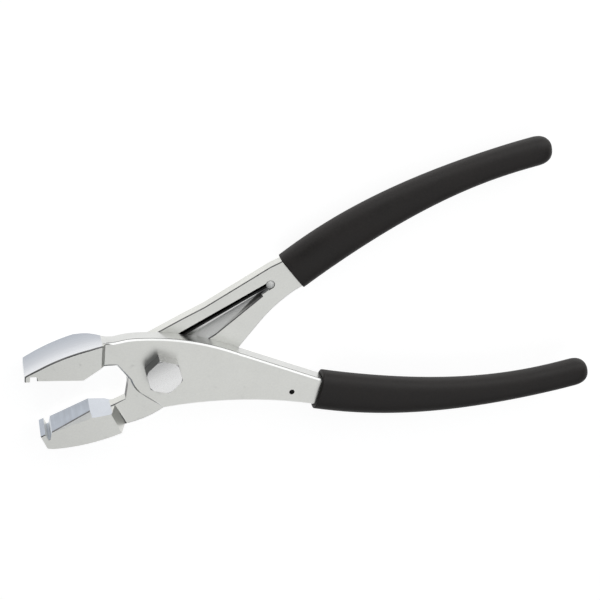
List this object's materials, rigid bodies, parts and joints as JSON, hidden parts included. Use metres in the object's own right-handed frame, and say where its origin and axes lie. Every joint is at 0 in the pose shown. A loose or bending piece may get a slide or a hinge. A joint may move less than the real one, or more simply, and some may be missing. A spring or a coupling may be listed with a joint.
{
  "type": "running pliers",
  "caption": "Running pliers with two lipped steel jaws, a hex bolt pivot, a leaf return spring and black grips.",
  "frame": {"origin": "on the pivot axis, in the plane of the bolt's end and the nut's back, on which the tool rests", "axes": "+Z along the pivot axis towards the hex head; -X towards the jaw tips; +Y towards the upper handle"},
  "size_m": [0.234, 0.1311, 0.0214],
  "materials": {
    "lever_steel": "bright plated, satin",
    "fastener_steel": "bright plated, smooth",
    "spring_steel": "black oxide",
    "grip_vinyl": "matte, fine grained"
  },
  "bodies": {
    "front": {"front_lever": "lever_steel", "pivot_bolt": "fastener_steel", "pivot_washer": "fastener_steel", "pivot_nut": "fastener_steel", "spring_stud": "fastener_steel", "lower_grip": "grip_vinyl"},
    "rear": {"rear_lever": "lever_steel", "spring_pin": "fastener_steel", "upper_grip": "grip_vinyl"},
    "leaf": {"return_spring": "spring_steel"}
  },
  "joints": [
    {"name": "handle_pivot", "type": "hinge", "parent": "front", "child": "rear", "pos_m": [0, 0, 0.0101], "axis": [0, 0, -1], "range_deg": [0, 28], "stiffness_Nm_per_rad": 0.6, "springref_deg": -22.92},
    {"name": "leaf_flex", "type": "hinge", "parent": "rear", "child": "leaf", "pos_m": [0.0407, 0.03447, 0.0086], "axis": [0, 0, 1], "range_deg": [0, 3.2]}
  ],
  "couplings": [
    {"joint": "leaf_flex", "follows": "handle_pivot", "ratio": 0.1086}
  ]
}
